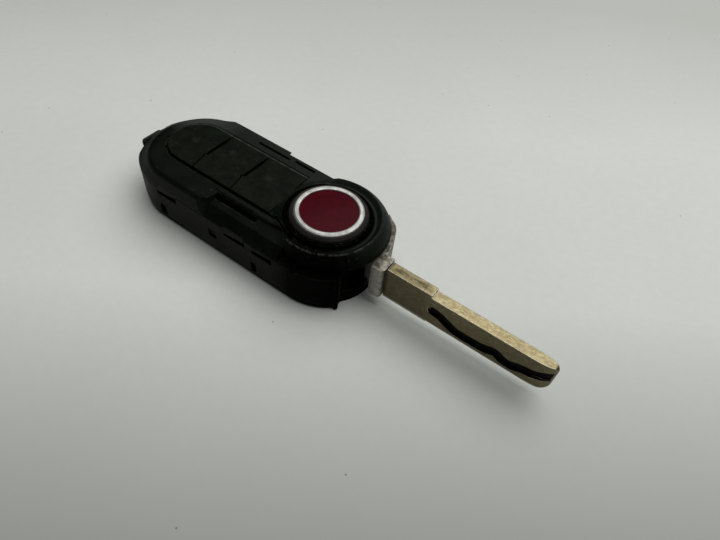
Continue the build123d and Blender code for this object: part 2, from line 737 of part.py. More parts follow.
def blade_head():
    """Nickel casting: spring barrel, curved lip and the block that grips the blade."""
    z0 = shank_bottom_z
    z1 = shank_top_z
    barrel = rod(pivot_x, pivot_y, head_disc_radius, z0, z1) & rod(0, 0, head_front_radius, z0, z1)
    lip = sector(0, 0, head_front_radius, head_start_angle, head_end_angle, z0, z1)
    lip -= rod(0, 0, head_front_radius - head_band, z0 - 1, z1 + 1)
    lip &= rod(0, -lip_taper, head_front_radius, z0, z1)
    grip = block(block_front_x - block_depth, block_front_x, block_near_y, block_far_y, z0, z1)
    corner = grip.edges().filter_by(Axis.Z).sort_by(Axis.Y)[:2].sort_by(Axis.X)[-1]
    grip = fillet(corner, block_round)
    head = barrel + lip + grip
    # Spring chamber, open below, round a sleeve that runs on the pivot pin
    chamber_top = z1 - 2.0
    chamber = rod(pivot_x, pivot_y, chamber_radius(), z0 - 1, chamber_top)
    chamber -= rod(pivot_x, pivot_y, pin_radius + pin_running_gap + sleeve_wall, z0 - 1, chamber_top)
    head -= chamber
    head -= rod(pivot_x, pivot_y, pin_radius + pin_running_gap, z0 - 1, z1 + 1)
    # Slot for the blade's tang, and the cross hole for the roll pin
    tang_y0 = blade_y - blade_thickness / 2
    tang_y1 = blade_y + blade_thickness / 2
    head -= block(block_front_x - tang_length, block_front_x + 1, tang_y0, tang_y1, z0 + tang_shoulder,
                  z1 - tang_shoulder)
    head -= cross_rod(roll_pin_x(), roll_pin_z(), roll_pin_radius, block_near_y + roll_pin_cover,
                      block_far_y + 0.01)
    return head


def chamber_radius():
    """Inside of the spring barrel."""
    return pin_radius + pin_running_gap + sleeve_wall + spring_wire + 2 * chamber_gap + 0.1


def roll_pin_x():
    return block_front_x - tang_length / 2


def roll_pin_z():
    return (shank_bottom_z + shank_top_z) / 2


def flip_spring():
    """The torsion spring that throws the blade open, inside the barrel."""
    sleeve_radius = pin_radius + pin_running_gap + sleeve_wall
    mean_radius = sleeve_radius + chamber_gap + spring_wire / 2
    return coil_spring(pivot_x, pivot_y, shank_bottom_z + 0.3, shank_top_z - 2.3, mean_radius, spring_wire,
                       spring_coils)


def blade_roll_pin():
    start_y = block_near_y + roll_pin_cover
    pin = cross_rod(roll_pin_x(), roll_pin_z(), roll_pin_radius, start_y, block_far_y)
    return pin - cross_rod(roll_pin_x(), roll_pin_z(), roll_pin_radius * 0.45, start_y, start_y + 1.5)


def round_ended_band(path, width):
    """A strip of even width along a flat path, with a round start and a square end."""
    steps = 28
    left = []
    right = []
    for i in range(steps + 1):
        middle = path @ (i / steps)
        along = (path % (i / steps)).normalized()
        across = Vector(-along.Y, along.X) * (width / 2)
        left.append(middle + across)
        right.append(middle - across)
    start = (path @ 0) - (path % 0).normalized() * (width / 2)
    sides = [Spline(*left), Line(left[-1], right[-1]), Spline(*reversed(right)),
             ThreePointArc(right[0], start, left[0])]
    return make_face(Curve() + sides)


def track_path():
    """The middle line of the milled track, in X and Z."""
    points = [(1.2, 0.0), (2.2, -0.15), (3.8, -0.7), (5.6, -1.6), (7.0, -2.1), (9.2, -2.2), (12.1, -2.1),
              (14.3, -1.75), (16.1, -1.15), (17.6, -1.7), (19.7, -2.2), (21.8, -1.4), (24.7, -0.8),
              (27.6, 0.4), (31.5, 1.6)]
    return Spline(*[(shank_end_x + x, roll_pin_z() + z) for x, z in points])


def tip_plan():
    """The blade from above: straight sides and a bullet-shaped tip."""
    start_x = block_front_x - tang_length
    end_x = tip_x - tip_length
    straight = Pos((start_x + end_x) / 2, blade_y) * Rectangle(end_x - start_x, blade_thickness)
    return straight + Pos(end_x, blade_y) * Ellipse(tip_length, blade_thickness / 2)


def key_blade():
    """Flat blade with a deeper shank, a rounded tip and one wavy track milled in each face."""
    root_x = block_front_x - tang_length
    y0 = blade_y - blade_thickness / 2
    y1 = blade_y + blade_thickness / 2
    tang = block(root_x, shank_end_x, y0, y1, shank_bottom_z + tang_shoulder, shank_top_z - tang_shoulder)
    shank = block(block_front_x + shoulder_gap, shank_end_x, y0, y1, shank_bottom_z, shank_top_z)
    length = block(shank_end_x - 1, tip_x, y0, y1, shank_bottom_z + lower_step, shank_top_z - upper_step)
    tip_edges = length.edges().filter_by(Axis.Y).group_by(Axis.X)[-1].sort_by(Axis.Z)
    length = fillet(tip_edges[0], tip_lower_round)
    tip_edges = length.edges().filter_by(Axis.Y).group_by(Axis.X)[-1].sort_by(Axis.Z)
    length = fillet(tip_edges[-1], tip_upper_round)
    blade = (tang + shank + length) & slab(tip_plan(), 0, far)
    track = Plane.XZ * round_ended_band(track_path(), track_width)
    groove = extrude(track, track_depth)
    blade -= Pos(0, y0 + track_depth, 0) * groove
    blade -= Pos(0, y1, 0) * groove
    blade -= cross_rod(roll_pin_x(), roll_pin_z(), roll_pin_radius, -far, far)
    return blade


def build_all():
    """Every piece under its node name."""
    pieces = {
        "lower_housing": lower_housing(),
        "upper_housing": upper_housing(),
        "release_button": release_button(),
        "emblem_ring": emblem_ring(),
        "emblem_enamel": emblem_enamel(),
        "release_spring": release_spring(),
        "release_latch": release_latch(),
        "circuit_board": circuit_board(),
        "microcontroller": under_board(chip_x, chip_y, chip_size, chip_size, chip_height),
        "radio_crystal": under_board(chip_x, crystal_y, crystal_size, crystal_size * 0.8, chip_height),
        "transponder_coil": transponder_coil(),
        "battery_terminal_minus": battery_terminal_minus(),
        "battery_terminal_plus": battery_terminal_plus(),
        "battery_drawer": battery_drawer(),
        "coin_cell": coin_cell(),
        "drawer_lock": drawer_lock(),
        "pivot_pin": pivot_pin(),
        "blade_head": blade_head(),
        "flip_spring": flip_spring(),
        "blade_roll_pin": blade_roll_pin(),
        "key_blade": key_blade(),
    }
    for index, name in enumerate(("lock", "unlock", "boot")):
        pieces[name + "_key"] = key_cap(index)
        pieces[name + "_switch"] = key_switch(index)
    return pieces


for node, solid in build_all().items():
    export_step(solid, "parts/" + node + ".step")
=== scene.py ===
import math

import bpy
from mathutils import Matrix, Vector


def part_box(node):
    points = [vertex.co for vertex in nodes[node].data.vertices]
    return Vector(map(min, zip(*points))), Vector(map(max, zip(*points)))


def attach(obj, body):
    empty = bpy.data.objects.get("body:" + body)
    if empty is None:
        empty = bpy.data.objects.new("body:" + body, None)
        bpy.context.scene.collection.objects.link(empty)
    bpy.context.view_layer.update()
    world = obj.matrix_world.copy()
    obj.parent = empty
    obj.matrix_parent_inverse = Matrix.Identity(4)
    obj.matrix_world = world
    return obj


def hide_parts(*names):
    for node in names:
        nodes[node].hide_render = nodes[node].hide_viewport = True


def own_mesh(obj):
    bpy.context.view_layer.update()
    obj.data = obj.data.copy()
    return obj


# Dressed model of the flip key remote. Metres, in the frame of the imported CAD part.
MM = 0.001

# Places taken from the CAD part
BLADE_Y = -1.22 * MM
BLADE_THICKNESS = 2.7 * MM
SHANK_ROOT_X = 18.6 * MM
SHANK_END_X = 29.2 * MM
TIP_X = 57.9 * MM
TIP_LENGTH = 5.0 * MM
TRACK_LOW_Z = 4.8 * MM
TRACK_HIGH_Z = 11.9 * MM
TRACK_RISE = 2.8 * MM
GROOVE_RADIUS = 9.7 * MM
RIDGE_RADIUS = 12.2 * MM
HUB_TOP_Z = 16.5 * MM
KEY_TOP_Z = 15.3 * MM
KEY_MIDDLES = [(-41.4 * MM, 0.1 * MM), (-31.3 * MM, 2.4 * MM), (-18.6 * MM, 1.0 * MM)]
DECK_Z = 15.0 * MM
PAD_TAIL_X = -40.4 * MM
PAD_END_X = -11.8 * MM
PAD_HALF_WIDTH = 7.5 * MM
COIL_RADIUS = 1.2 * MM

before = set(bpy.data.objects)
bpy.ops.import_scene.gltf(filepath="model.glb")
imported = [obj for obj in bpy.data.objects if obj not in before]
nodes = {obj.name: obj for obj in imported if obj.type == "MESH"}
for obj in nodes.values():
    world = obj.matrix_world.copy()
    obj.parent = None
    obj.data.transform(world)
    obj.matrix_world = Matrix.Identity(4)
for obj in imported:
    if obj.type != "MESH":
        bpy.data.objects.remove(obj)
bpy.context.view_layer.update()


# Shader building

class Shader:
    """A material's node tree, with short calls for the nodes used here."""

    def __init__(self, name):
        self.material = bpy.data.materials.new(name)
        self.material.use_nodes = True
        self.tree = self.material.node_tree
        self.surface = self.tree.nodes["Principled BSDF"]
        self.place = self.tree.nodes.new("ShaderNodeTexCoord").outputs["Object"]

    def node(self, kind, **inputs):
        made = self.tree.nodes.new(kind)
        for name, value in inputs.items():
            self.set(made.inputs[name.replace("_", " ")], value)
        return made

    def set(self, socket, value):
        if isinstance(value, bpy.types.NodeSocket):
            self.tree.links.new(value, socket)
        else:
            socket.default_value = value

    def finish(self, **inputs):
        for name, value in inputs.items():
            self.set(self.surface.inputs[name.replace("_", " ")], value)
        return self.material

    # Numbers

    def math(self, operation, first, second=None):
        made = self.node("ShaderNodeMath")
        made.operation = operation
        self.set(made.inputs[0], first)
        if second is not None:
            self.set(made.inputs[1], second)
        return made.outputs["Value"]

    def times(self, first, *others):
        for other in others:
            first = self.math("MULTIPLY", first, other)
        return first

    def most(self, first, *others):
        for other in others:
            first = self.math("MAXIMUM", first, other)
        return first

    def plus(self, first, *others):
        for other in others:
            first = self.math("ADD", first, other)
        return first

    def minus(self, first, second):
        return self.math("SUBTRACT", first, second)

    def apart(self, first, second):
        return self.math("ABSOLUTE", self.minus(first, second))

    def length(self, first, second):
        """The length of a flat vector."""
        squares = self.plus(self.math("POWER", first, 2.0), self.math("POWER", second, 2.0))
        return self.math("SQRT", squares)

    def ramp(self, value, low, high, to_low=0.0, to_high=1.0):
        made = self.node("ShaderNodeMapRange", Value=value)
        made.clamp = True
        limits = {"From Min": low, "From Max": high, "To Min": to_low, "To Max": to_high}
        for name, number in limits.items():
            made.inputs[name].default_value = number
        return made.outputs["Result"]

    # Places

    def across(self, axis):
        """The place along one axis."""
        return self.node("ShaderNodeSeparateXYZ", Vector=self.place).outputs[axis]

    def along(self, axis, start, end, at_start=0.0, at_end=1.0):
        """A ramp along one axis, with its ends in millimetres."""
        return self.ramp(self.across(axis), start * MM, end * MM, at_start, at_end)

    def off_pad_middle(self):
        """The distance from the key pad's middle line, which stops at the middle of its round tail."""
        past_tail = self.math("MINIMUM", self.minus(self.across("X"), PAD_TAIL_X), 0.0)
        return self.length(past_tail, self.across("Y"))

    def facing(self, axis):
        """How far the surface faces along an axis, 0 to 1, by its own normal."""
        geometry = self.node("ShaderNodeNewGeometry")
        split = self.node("ShaderNodeSeparateXYZ", Vector=geometry.outputs["True Normal"])
        return self.math("ABSOLUTE", split.outputs[axis])

    def stretched(self, scale, turn=(0.0, 0.0, 0.0)):
        mapping = self.node("ShaderNodeMapping", Vector=self.place, Scale=scale, Rotation=turn)
        return mapping.outputs["Vector"]

    # Patterns

    def noise(self, scale, detail=3.0, roughness=0.55, place=None):
        made = self.node("ShaderNodeTexNoise", Vector=place or self.place, Scale=scale,
                         Detail=detail, Roughness=roughness)
        return made.outputs["Fac"]

    def specks(self, cells, size, share, spread="3D"):
        """Small dots, one in some of the cells."""
        made = self.node("ShaderNodeTexVoronoi", Vector=self.place, Scale=cells)
        made.voronoi_dimensions = spread
        near = self.math("LESS_THAN", made.outputs["Distance"], size)
        pick = self.node("ShaderNodeSeparateColor", Color=made.outputs["Color"])
        return self.times(near, self.math("LESS_THAN", pick.outputs["Red"], share))

    def mix(self, factor, first, second):
        made = self.node("ShaderNodeMix")
        made.data_type = "RGBA"
        self.set(made.inputs[0], factor)
        self.set(made.inputs[6], first)
        self.set(made.inputs[7], second)
        return made.outputs[2]

    # Normals

    def bump(self, height, distance, strength=1.0, normal=None):
        made = self.node("ShaderNodeBump", Height=height, Distance=distance, Strength=strength)
        if normal is not None:
            self.set(made.inputs["Normal"], normal)
        return made.outputs["Normal"]

    def rounded(self, radius):
        """The normal with edges rounded by radius, for a moulded or cast edge."""
        made = self.node("ShaderNodeBevel", Radius=radius)
        made.samples = 4
        return made.outputs["Normal"]

    def edges(self, rounded_normal, low=0.02, high=0.25):
        """One on sharp edges, nought on flats."""
        geometry = self.node("ShaderNodeNewGeometry")
        dot = self.node("ShaderNodeVectorMath")
        dot.operation = "DOT_PRODUCT"
        self.set(dot.inputs[0], rounded_normal)
        self.set(dot.inputs[1], geometry.outputs["Normal"])
        return self.ramp(self.minus(1.0, dot.outputs["Value"]), low, high)


def rgb(red, green, blue):
    return (red, green, blue, 1.0)


def grey(level):
    return rgb(level, level, level)


PALE_DUST = rgb(0.11, 0.12, 0.1)
PAINTED_HIGHLIGHT_GREY = rgb(0.05, 0.055, 0.048)
PAINTED_SHADE_BLACK = grey(0.0003)


def shell_light_and_shade(s, colour):
    """Painted light and shade at their places on the shells, and scuffs on the hub's ridge: their
    colour, and the shine they give or take.
    """
    # Painted sheen lightens the far side; painted shade darkens and dulls the near side round the swivel
    # and the near side of the tail end
    far_sheen_and_wear = s.along("Y", -6.0, 11.0)
    near_shade = s.times(s.along("Y", -9.0, -4.0, 1.0, 0.0), s.along("X", -6.0, 0.0))
    tail_end_shade = s.times(s.along("X", -51.0, -46.0, 1.0, 0.0), s.along("Y", -1.0, 5.0, 1.0, 0.0))
    colour = s.mix(s.times(near_shade, 0.8), colour, grey(0.0005))
    colour = s.mix(s.times(far_sheen_and_wear, 0.35), colour, rgb(0.019, 0.023, 0.018))
    colour = s.mix(s.times(tail_end_shade, 0.65), colour, rgb(0.0012, 0.0014, 0.001))
    # A painted highlight lightens the tail's far rim and the lug's top
    tail_rim_highlight = s.times(s.along("X", -44.0, -35.0, 1.0, 0.0), s.along("Y", -1.0, 5.0))
    lug_top_highlight = s.times(s.along("X", -54.2, -53.4, 1.0, 0.0), s.along("Z", 9.0, 11.5))
    tail_highlight = s.most(tail_rim_highlight, lug_top_highlight)
    colour = s.mix(s.times(tail_highlight, 0.6), colour, PAINTED_HIGHLIGHT_GREY)
    # Painted shade blackens the groove round the button
    from_hub = s.length(s.across("X"), s.across("Y"))
    groove_shade = s.ramp(s.apart(from_hub, GROOVE_RADIUS), 0.5 * MM, 0.85 * MM, 1.0, 0.0)
    colour = s.mix(groove_shade, colour, PAINTED_SHADE_BLACK)
    # The hub's ridge is scuffed on the near side, and carries a painted highlight there
    ridge_scuffs_and_highlight = s.times(s.ramp(s.apart(from_hub, RIDGE_RADIUS), 0.12 * MM, 0.35 * MM, 1.0, 0.0),
                      s.along("Y", -3.0, 0.0, 1.0, 0.0),
                      s.ramp(s.across("Z"), HUB_TOP_Z - 0.3 * MM, HUB_TOP_Z - 0.1 * MM),
                      s.ramp(s.noise(1800.0, 4.0, 0.7), 0.44, 0.56))
    colour = s.mix(s.times(ridge_scuffs_and_highlight, 0.8), colour, rgb(0.05, 0.052, 0.042))
    # Painted shade blackens the mouth that the blade comes out of
    mouth_shade = s.times(s.along("X", 5.0, 9.0), s.along("Y", -1.0, 2.0, 1.0, 0.0),
                    s.along("Z", 12.0, 14.0, 1.0, 0.0))
    colour = s.mix(s.times(mouth_shade, 0.85), colour, grey(0.0004))
    # The painted sheen and highlight add shine, and the painted shade takes it away
    shine = s.plus(s.times(far_sheen_and_wear, 0.06), s.times(tail_highlight, 0.12))
    painted_shade = s.most(s.times(near_shade, 0.85), s.times(tail_end_shade, 0.85), groove_shade, s.times(mouth_shade, 0.9))
    return colour, shine, painted_shade


def moulded_plastic(name, dark, light, worn, roughness=0.5, edge_radius=0.3 * MM, wear=0.6,
                    dust=0.08, shine=0.07, painted_light=False):
    """Black moulded plastic: fine texture, clouds, paler worn edges and specks of dust, and on the
    shells painted light and shade as well.
    """
    s = Shader(name)
    rounded = s.rounded(edge_radius)
    clouds = s.ramp(s.noise(210.0, 5.0), 0.35, 0.7)
    colour = s.mix(clouds, dark, light)
    painted_sheen, painted_shade = 0.0, 0.0
    if painted_light:
        colour, painted_sheen, painted_shade = shell_light_and_shade(s, colour)
    turned = s.stretched((0.4, 1.0, 1.6), (0.0, 0.3, 0.4))
    scratches = s.ramp(s.noise(1300.0, 5.0, 0.7, turned), 0.6, 0.7, 0.0, 0.25)
    colour = s.mix(scratches, colour, worn)
    patches = s.ramp(s.noise(900.0, 4.0), 0.38, 0.62)
    edge = s.times(s.edges(rounded), patches, wear)
    colour = s.mix(edge, colour, worn)
    specks = s.most(s.specks(420.0, 0.07, dust), s.specks(1100.0, 0.12, dust))
    colour = s.mix(s.times(specks, 0.4), colour, PALE_DUST)
    shine = s.plus(shine, s.times(edge, 0.25), painted_sheen)
    shine = s.times(shine, s.minus(1.0, painted_shade))
    lengthwise = s.stretched((6.0, 60.0, 30.0), (0.0, 0.0, 0.5))
    scuffs = s.ramp(s.noise(60.0, 4.0, place=lengthwise), 0.55, 0.75)
    gloss = s.minus(s.minus(roughness, s.times(scuffs, 0.07)), s.times(edge, 0.12))
    normal = s.bump(s.noise(5200.0, 2.0), 0.012 * MM, 0.6, rounded)
    return s.finish(Base_Color=colour, Roughness=gloss, Specular_IOR_Level=shine, Normal=normal)


def soft_rubber(name, dark, light, worn):
    """Silicone key tops: matt, smudged, with a small rubbed spot in the middle of each."""
    s = Shader(name)
    rounded = s.rounded(0.25 * MM)
    smudge = s.ramp(s.noise(420.0, 6.0, 0.68), 0.42, 0.66)
    colour = s.mix(smudge, dark, light)
    # The edges are rubbed pale, and a painted highlight makes them palest on the far side
    far_sheen_and_wear = s.times(s.edges(rounded, 0.01, 0.15), s.along("Y", 0.0, 7.0, 0.15, 1.0),
                     s.ramp(s.noise(1100.0, 3.0), 0.38, 0.62, 0.25, 0.9))
    colour = s.mix(far_sheen_and_wear, colour, worn)
    off_middle = s.off_pad_middle()
    # A pale band along the far rim is partly wear and partly a painted highlight
    rim = s.ramp(off_middle, PAD_HALF_WIDTH - 0.65 * MM, PAD_HALF_WIDTH - 0.35 * MM)
    far_rim_wear_and_highlight = s.times(rim, s.along("Y", -3.0, 3.0),
                      s.ramp(s.noise(700.0, 3.0), 0.35, 0.6, 0.35, 0.95))
    colour = s.mix(far_rim_wear_and_highlight, colour, worn)
    # Painted shade darkens the seams, least on the far side, and lies wider in those between the keys
    # from the far side to their step
    seam_shade = s.times(s.edges(s.rounded(0.13 * MM), 0.005, 0.08), s.along("Y", 3.0, 6.0, 0.95, 0.3))
    inside = s.ramp(off_middle, PAD_HALF_WIDTH - 1.3 * MM, PAD_HALF_WIDTH - 0.9 * MM, 1.0, 0.0)
    notch_shade = s.times(s.edges(s.rounded(0.36 * MM), 0.004, 0.03), inside,
                      s.along("Y", -1.5, -0.9), s.along("X", -17.5, -16.5, 1.0, 0.0))
    seam_shade = s.most(seam_shade, notch_shade)
    colour = s.mix(seam_shade, colour, PAINTED_SHADE_BLACK)
    specks = s.most(s.specks(640.0, 0.1, 0.1), s.specks(1200.0, 0.13, 0.12))
    colour = s.mix(s.times(specks, 0.4), colour, PALE_DUST)
    for x, y in KEY_MIDDLES:
        middle = s.node("ShaderNodeVectorMath", Vector=s.place)
        middle.operation = "DISTANCE"
        middle.inputs[1].default_value = (x, y, KEY_TOP_Z)
        spot = s.times(s.ramp(middle.outputs["Value"], 0.39 * MM, 1.3 * MM, 0.5, 0.0),
                       s.ramp(s.noise(2600.0, 4.0, 0.7), 0.46, 0.6))
        colour = s.mix(spot, colour, rgb(0.05, 0.055, 0.045))
    gloss = s.ramp(s.noise(160.0, 3.0), 0.3, 0.7, 0.5, 0.62)
    # The painted shade in the seams takes their shine away
    shine = s.ramp(seam_shade, 0.0, 1.0, 0.07, 0.0)
    normal = s.bump(s.noise(6500.0, 2.0), 0.01 * MM, 0.7, rounded)
    return s.finish(Base_Color=colour, Roughness=gloss, Specular_IOR_Level=shine, Normal=normal)


def plated_metal(name, bright, dull, low, high, edge_radius, grain=(1.0, 1.0, 1.0)):
    """Nickel or steel: cloudy tarnish, fine scratches along the grain, and brighter rubbed edges."""
    s = Shader(name)
    rounded = s.rounded(edge_radius)
    tarnish = s.ramp(s.noise(420.0, 5.0, 0.6), 0.36, 0.66)
    colour = s.mix(tarnish, bright, dull)
    colour = s.mix(s.times(s.edges(rounded), 0.55), colour, bright)
    lines = s.noise(2400.0, 3.0, place=s.stretched(grain))
    gloss = s.ramp(s.plus(s.times(lines, 0.5), s.times(tarnish, 0.5)), 0.2, 0.8, low, high)
    normal = s.bump(lines, 0.006 * MM, 0.5, rounded)
    return s.finish(Base_Color=colour, Metallic=1.0, Roughness=gloss, Normal=normal)


def in_track_band(s):
    """One on the stretch of the blade's side that the milled track runs in, and past the shank."""
    low_edge = s.ramp(s.across("X"), TIP_X - 7.9 * MM, TIP_X - 0.9 * MM,
                      TRACK_LOW_Z, TRACK_LOW_Z + TRACK_RISE)
    return s.times(s.math("GREATER_THAN", s.across("Z"), low_edge),
                   s.math("LESS_THAN", s.across("Z"), TRACK_HIGH_Z),
                   s.math("GREATER_THAN", s.across("X"), SHANK_END_X + 0.1 * MM))


def sunk_in_blade(s):
    """One under the blade's faces, which close to a bullet shape at the tip."""
    into_tip = s.ramp(s.across("X"), TIP_X - TIP_LENGTH, TIP_X)
    narrowing = s.math("SQRT", s.minus(1.0, s.times(into_tip, into_tip)))
    half = s.minus(s.times(narrowing, BLADE_THICKNESS / 2), 0.12 * MM)
    return s.math("LESS_THAN", s.apart(s.across("Y"), BLADE_Y), half)


def blade_metal():
    """Warm nickel silver with lengthwise brushing, and dark grease in the milled track."""
    s = Shader("blade_nickel_silver")
    rounded = s.rounded(0.2 * MM)
    tarnish = s.ramp(s.noise(1000.0, 6.0, 0.7), 0.36, 0.66)
    colour = s.mix(tarnish, rgb(0.3, 0.255, 0.145), rgb(0.17, 0.14, 0.072))
    streaks = s.noise(1100.0, 4.0, place=s.stretched((1.0, 10.0, 10.0)))
    colour = s.mix(s.ramp(streaks, 0.45, 0.7, 0.0, 0.6), colour, rgb(0.1, 0.082, 0.045))
    rubs = s.noise(2600.0, 5.0, 0.7, s.stretched((0.35, 1.0, 1.0)))
    colour = s.mix(s.ramp(rubs, 0.54, 0.66, 0.0, 0.6), colour, rgb(0.48, 0.43, 0.27))
    # The shank is painted darker as shade, stained along the middle of its top, and black where it
    # enters the block, from a stain and painted shade in the joint
    on_shank = s.ramp(s.across("X"), SHANK_END_X - 2.0 * MM, SHANK_END_X, 1.0, 0.0)
    along_middle = s.ramp(s.apart(s.across("Y"), BLADE_Y), 0.3 * MM, 0.9 * MM, 1.0, 0.0)
    blots = s.noise(1100.0, 4.0, 0.65, s.stretched((0.5, 1.0, 1.0)))
    stain = s.times(on_shank, along_middle, s.ramp(blots, 0.42, 0.6, 0.0, 0.8))
    colour = s.mix(s.times(on_shank, 0.4), colour, rgb(0.06, 0.05, 0.025))
    root = s.ramp(s.across("X"), SHANK_ROOT_X - 0.6 * MM, SHANK_ROOT_X, 0.85, 0.0)
    colour = s.mix(s.most(stain, root), colour, rgb(0.03, 0.026, 0.012))
    # The flat sides are painted darker than the top as shade, the corners are rubbed bright, and a
    # painted reflection of the paper lightens the band along the lower edge
    colour = s.mix(s.times(s.facing("Y"), 0.5), colour, rgb(0.06, 0.05, 0.032))
    band = in_track_band(s)
    worn = s.times(s.edges(s.rounded(0.3 * MM), 0.01, 0.1), s.minus(1.0, s.times(band, 0.85)),
                   s.ramp(s.noise(700.0, 3.0), 0.35, 0.65, 0.5, 1.0))
    under = s.along("Z", 4.4, 4.7, 0.35, 0.0)
    colour = s.mix(s.most(worn, under), colour, rgb(0.85, 0.81, 0.68))
    track = s.times(band, sunk_in_blade(s))
    grease = s.mix(s.ramp(s.noise(900.0, 4.0), 0.45, 0.7), rgb(0.003, 0.0025, 0.002),
                   rgb(0.022, 0.015, 0.009))
    colour = s.mix(track, colour, grease)
    lines = s.noise(1600.0, 5.0, 0.65, s.stretched((1.0, 8.0, 8.0)))
    gloss = s.plus(s.ramp(lines, 0.3, 0.7, 0.24, 0.4), s.times(track, 0.4))
    metal = s.minus(1.0, s.times(track, 0.95))
    normal = s.bump(lines, 0.008 * MM, 0.5, rounded)
    return s.finish(Base_Color=colour, Metallic=metal, Roughness=gloss, Specular_IOR_Level=0.12,
                    Normal=normal)


def cast_nickel():
    """Plated casting with a pitted skin, brown stains, painted shade towards the hub and a painted
    highlight on its side faces.
    """
    s = Shader("cast_nickel_head")
    rounded = s.rounded(0.3 * MM)
    tarnish = s.ramp(s.noise(520.0, 6.0, 0.7), 0.4, 0.62)
    colour = s.mix(tarnish, rgb(0.34, 0.325, 0.27), rgb(0.13, 0.118, 0.09))
    stains = s.ramp(s.noise(900.0, 4.0, 0.6), 0.56, 0.66, 0.0, 0.75)
    colour = s.mix(stains, colour, rgb(0.045, 0.035, 0.02))
    grease = s.times(s.facing("Z"), s.ramp(s.noise(1500.0, 5.0, 0.7), 0.5, 0.6, 0.0, 0.7))
    colour = s.mix(grease, colour, rgb(0.05, 0.042, 0.02))
    # Painted shade darkens the casting towards the hub, with a ragged edge
    ragged = s.minus(s.across("X"), s.times(s.noise(1400.0, 5.0, 0.7), 3.0 * MM))
    hub_shade = s.times(s.ramp(ragged, 13.3 * MM, 15.3 * MM, 0.9, 0.0), s.along("Y", 0.0, 2.0, 1.0, 0.65))
    colour = s.mix(hub_shade, colour, rgb(0.03, 0.026, 0.02))
    # The side faces get a painted highlight
    colour = s.mix(s.times(s.facing("Y"), 0.35), colour, rgb(0.62, 0.59, 0.52))
    worn = s.times(s.edges(rounded, 0.01, 0.15), s.ramp(s.noise(800.0, 3.0), 0.35, 0.6, 0.45, 1.0))
    colour = s.mix(worn, colour, rgb(0.9, 0.88, 0.8))
    gloss = s.ramp(tarnish, 0.0, 1.0, 0.42, 0.6)
    normal = s.bump(s.noise(2600.0, 3.0), 0.012 * MM, 0.6, rounded)
    return s.finish(Base_Color=colour, Metallic=1.0, Roughness=gloss, Normal=normal)


def enamel():
    """Deep crimson under a clear coat, with fine speckle."""
    s = Shader("crimson_enamel")
    depth = s.ramp(s.noise(700.0, 3.0), 0.3, 0.7)
    colour = s.mix(depth, rgb(0.05, 0.0016, 0.005), rgb(0.072, 0.0022, 0.007))
    ripple = s.bump(s.noise(500.0, 2.0), 0.01 * MM, 0.4)
    return s.finish(Base_Color=colour, Roughness=0.4, Specular_IOR_Level=0.03, Coat_Weight=0.03,
                    Coat_Roughness=0.15, Normal=ripple)


def board_laminate():
    """Green solder mask over a fine weave."""
    s = Shader("green_solder_mask")
    weave = s.node("ShaderNodeTexBrick", Vector=s.place, Scale=1400.0,
                   Color1=rgb(0.02, 0.13, 0.05), Color2=rgb(0.03, 0.16, 0.065),
                   Mortar=rgb(0.015, 0.1, 0.04))
    gloss = s.ramp(s.noise(800.0), 0.3, 0.7, 0.25, 0.4)
    return s.finish(Base_Color=weave.outputs["Color"], Roughness=gloss, Coat_Weight=0.3)


def copper_winding():
    """Enamelled copper wire, wound close."""
    s = Shader("copper_winding")
    turns = s.node("ShaderNodeTexWave", Vector=s.place, Scale=900.0).outputs["Fac"]
    colour = s.mix(turns, rgb(0.35, 0.12, 0.04), rgb(0.7, 0.3, 0.13))
    normal = s.bump(turns, 0.05 * MM)
    return s.finish(Base_Color=colour, Metallic=1.0, Roughness=0.3, Normal=normal)


shell_plastic = moulded_plastic("moulded_black_shell", rgb(0.002, 0.003, 0.0015),
                                rgb(0.0048, 0.0067, 0.0036), rgb(0.065, 0.069, 0.056), painted_light=True)
button_plastic = moulded_plastic("black_button_cone", rgb(0.019, 0.0173, 0.015),
                                 rgb(0.032, 0.029, 0.0255), rgb(0.06, 0.06, 0.055),
                                 roughness=0.42, edge_radius=0.2 * MM, wear=0.5, dust=0.05, shine=0.12)
lock_plastic = moulded_plastic("grey_lock_nylon", rgb(0.02, 0.02, 0.021), rgb(0.035, 0.035, 0.036),
                               grey(0.1), edge_radius=0.1 * MM)
chip_plastic = moulded_plastic("black_chip_package", grey(0.01), grey(0.02), grey(0.05),
                               roughness=0.55, edge_radius=0.1 * MM, wear=0.3, dust=0.0)
key_rubber = soft_rubber("soft_key_rubber", rgb(0.002, 0.0037, 0.0014), rgb(0.007, 0.0105, 0.0048),
                         rgb(0.06, 0.065, 0.052))
silver = plated_metal("silver_emblem_rim", rgb(0.62, 0.62, 0.59), rgb(0.4, 0.4, 0.37),
                      0.48, 0.62, 0.2 * MM)
steel = plated_metal("ground_steel", grey(0.6), grey(0.42), 0.22, 0.35, 0.15 * MM)
spring_wire = plated_metal("drawn_spring_wire", grey(0.5), grey(0.32), 0.25, 0.4, 0.1 * MM)
switch_cover = plated_metal("stamped_switch_cover", rgb(0.7, 0.7, 0.68), rgb(0.5, 0.5, 0.48),
                            0.25, 0.4, 0.1 * MM)
terminal_strip = plated_metal("sprung_terminal_strip", rgb(0.8, 0.68, 0.42), rgb(0.6, 0.48, 0.28),
                              0.2, 0.35, 0.1 * MM, grain=(1.0, 12.0, 12.0))
cell_can = plated_metal("pressed_cell_can", rgb(0.74, 0.74, 0.75), rgb(0.56, 0.56, 0.57),
                        0.2, 0.32, 0.2 * MM)
copper = copper_winding()

